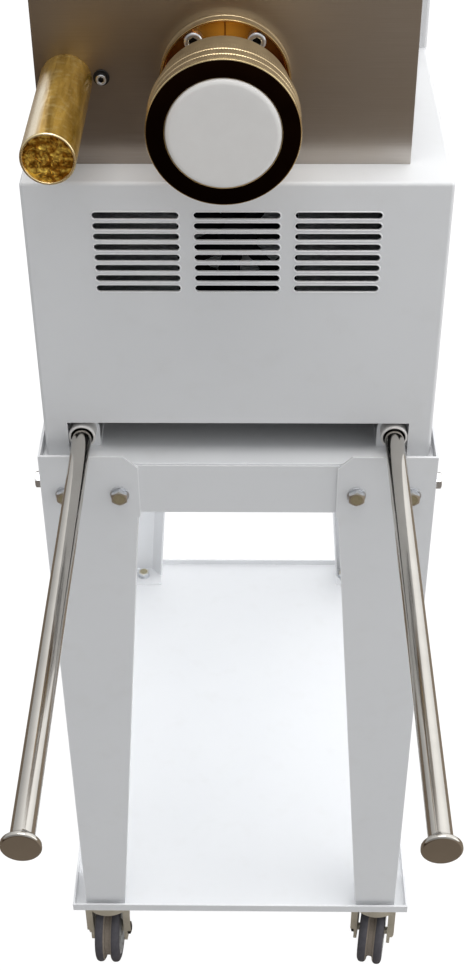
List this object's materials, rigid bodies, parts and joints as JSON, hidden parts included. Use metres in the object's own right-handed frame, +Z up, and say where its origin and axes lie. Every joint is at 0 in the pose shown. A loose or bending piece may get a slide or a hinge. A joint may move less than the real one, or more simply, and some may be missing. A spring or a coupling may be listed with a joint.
{
  "type": "pasta extruder",
  "caption": "Small electric fresh-pasta extruder on a wheeled sheet-metal stand, with a bronze die head, a lidded mixing tub and telescopic tray rails.",
  "frame": {"origin": "centre of the bounding box at floor level, under the middle of the machine", "axes": "+Z up; the front with the die faces -Y; +X is on the operator's right as they face the machine"},
  "size_m": [0.358, 0.96, 1.264],
  "materials": {
    "white_paint": "satin powder coat",
    "zinc_steel": "zinc plated",
    "black_oxide": "black oxide",
    "hub_nylon": "moulded",
    "wheel_rubber": "matt",
    "bolt_steel": "zinc plated",
    "washer_steel": "bright zinc",
    "chromed_rod": "mirror",
    "white_nylon": "turned",
    "brushed_stainless": "brushed",
    "aged_brass": "worn",
    "bronze": "turned and polished",
    "cast_steel": "machined",
    "motor_grey": "enamel",
    "black_plastic": "moulded",
    "green_plastic": "gloss",
    "red_plastic": "gloss"
  },
  "bodies": {
    "machine": {"base_pan": "white_paint", "cable_gland": "black_plastic", "caster_plates": "zinc_steel", "cutter_post": "aged_brass", "die_flange": "bronze", "die_plug": "white_nylon", "drive_motor": "motor_grey", "extrusion_barrel": "cast_steel", "fan_frame": "black_plastic", "flange_screws": "bolt_steel", "front_beam": "white_paint", "front_plate": "brushed_stainless", "leg_front_left": "white_paint", "leg_front_right": "white_paint", "leg_rear_left": "white_paint", "leg_rear_right": "white_paint", "lid_hinge": "brushed_stainless", "lower_housing": "white_paint", "lower_shelf": "white_paint", "mixing_tub": "brushed_stainless", "panel_screws": "black_oxide", "rail_bushes": "white_nylon", "rear_beam": "white_paint", "rear_cover": "white_paint", "shaft_bushes": "white_nylon", "side_beams": "white_paint", "stand_bolts": "bolt_steel", "stand_nuts": "bolt_steel", "stand_washers": "washer_steel", "switch_bezels": "black_plastic", "upper_housing": "white_paint"},
    "caster_front_left": {"caster_fork_front_left": "zinc_steel", "caster_axle_front_left": "black_oxide"},
    "wheel_front_left": {"wheel_hub_front_left": "hub_nylon", "wheel_tyre_front_left": "wheel_rubber"},
    "caster_front_right": {"caster_fork_front_right": "zinc_steel", "caster_axle_front_right": "black_oxide"},
    "wheel_front_right": {"wheel_hub_front_right": "hub_nylon", "wheel_tyre_front_right": "wheel_rubber"},
    "caster_rear_left": {"caster_fork_rear_left": "zinc_steel", "caster_axle_rear_left": "black_oxide"},
    "wheel_rear_left": {"wheel_hub_rear_left": "hub_nylon", "wheel_tyre_rear_left": "wheel_rubber"},
    "caster_rear_right": {"caster_fork_rear_right": "zinc_steel", "caster_axle_rear_right": "black_oxide"},
    "wheel_rear_right": {"wheel_hub_rear_right": "hub_nylon", "wheel_tyre_rear_right": "wheel_rubber"},
    "rail_left": {"tray_rail_left": "chromed_rod"},
    "rail_right": {"tray_rail_right": "chromed_rod"},
    "die_ring": {"ring_nut": "bronze"},
    "auger_unit": {"auger": "cast_steel", "auger_gear": "cast_steel"},
    "mixer_unit": {"paddle_shaft": "cast_steel", "paddle_gear": "cast_steel"},
    "motor_shaft": {"motor_pinion": "cast_steel"},
    "fan": {"fan_rotor": "black_plastic"},
    "lid": {"tub_lid": "brushed_stainless"},
    "start": {"start_button": "green_plastic"},
    "stop": {"stop_button": "red_plastic"},
    "selector": {"selector_knob": "black_plastic"}
  },
  "joints": [
    {"name": "swivel_front_left", "type": "hinge", "parent": "machine", "child": "caster_front_left", "pos_m": [-0.144, -0.025, 0.095], "axis": [0, 0, 1], "continuous": true},
    {"name": "roll_front_left", "type": "hinge", "parent": "caster_front_left", "child": "wheel_front_left", "pos_m": [-0.14498, -0.05298, 0.0375], "axis": [0.9994, -0.0349, 0], "continuous": true},
    {"name": "swivel_front_right", "type": "hinge", "parent": "machine", "child": "caster_front_right", "pos_m": [0.152, -0.025, 0.095], "axis": [0, 0, 1], "continuous": true},
    {"name": "roll_front_right", "type": "hinge", "parent": "caster_front_right", "child": "wheel_front_right", "pos_m": [0.14714, -0.05257, 0.0375], "axis": [0.9848, -0.1736, 0], "continuous": true},
    {"name": "swivel_rear_left", "type": "hinge", "parent": "machine", "child": "caster_rear_left", "pos_m": [-0.144, 0.42, 0.095], "axis": [0, 0, 1], "continuous": true},
    {"name": "roll_rear_left", "type": "hinge", "parent": "caster_rear_left", "child": "wheel_rear_left", "pos_m": [-0.144, 0.392, 0.0375], "axis": [1, 0, 0], "continuous": true},
    {"name": "swivel_rear_right", "type": "hinge", "parent": "machine", "child": "caster_rear_right", "pos_m": [0.152, 0.42, 0.095], "axis": [0, 0, 1], "continuous": true},
    {"name": "roll_rear_right", "type": "hinge", "parent": "caster_rear_right", "child": "wheel_rear_right", "pos_m": [0.152, 0.392, 0.0375], "axis": [1, 0, 0], "continuous": true},
    {"name": "slide_left", "type": "slide", "parent": "machine", "child": "rail_left", "axis": [0, 1, 0], "range_m": [0, 0.39]},
    {"name": "slide_right", "type": "slide", "parent": "machine", "child": "rail_right", "axis": [0, 1, 0], "range_m": [0, 0.39]},
    {"name": "ring_turn", "type": "hinge", "parent": "machine", "child": "die_ring", "pos_m": [-0.008, -0.1, 1.023], "axis": [0, 1, 0], "continuous": true},
    {"name": "auger_spin", "type": "hinge", "parent": "machine", "child": "auger_unit", "pos_m": [-0.008, 0.1, 1.023], "axis": [0, 1, 0], "continuous": true},
    {"name": "mixer_spin", "type": "hinge", "parent": "machine", "child": "mixer_unit", "pos_m": [-0.008, 0.1, 1.148], "axis": [0, 1, 0], "continuous": true},
    {"name": "motor_spin", "type": "hinge", "parent": "machine", "child": "motor_shaft", "pos_m": [0.077, 0.223, 1.023], "axis": [0, 1, 0], "continuous": true},
    {"name": "fan_spin", "type": "hinge", "parent": "machine", "child": "fan", "pos_m": [0, -0.028, 0.897], "axis": [0, 1, 0], "continuous": true},
    {"name": "lid_open", "type": "hinge", "parent": "machine", "child": "lid", "pos_m": [-0.008, 0.176, 1.2475], "axis": [-1, 0, 0], "range_deg": [0, 100]},
    {"name": "start_press", "type": "slide", "parent": "machine", "child": "start", "axis": [-1, 0, 0], "range_m": [0, 0.004], "stiffness_N_per_m": 400},
    {"name": "stop_press", "type": "slide", "parent": "machine", "child": "stop", "axis": [-1, 0, 0], "range_m": [0, 0.004], "stiffness_N_per_m": 400},
    {"name": "selector_turn", "type": "hinge", "parent": "machine", "child": "selector", "pos_m": [0.17, 0.248, 1.16], "axis": [1, 0, 0], "range_deg": [-45, 45]}
  ],
  "couplings": [
    {"joint": "mixer_spin", "follows": "auger_spin", "ratio": -1},
    {"joint": "motor_spin", "follows": "auger_spin", "ratio": -2.7778}
  ]
}
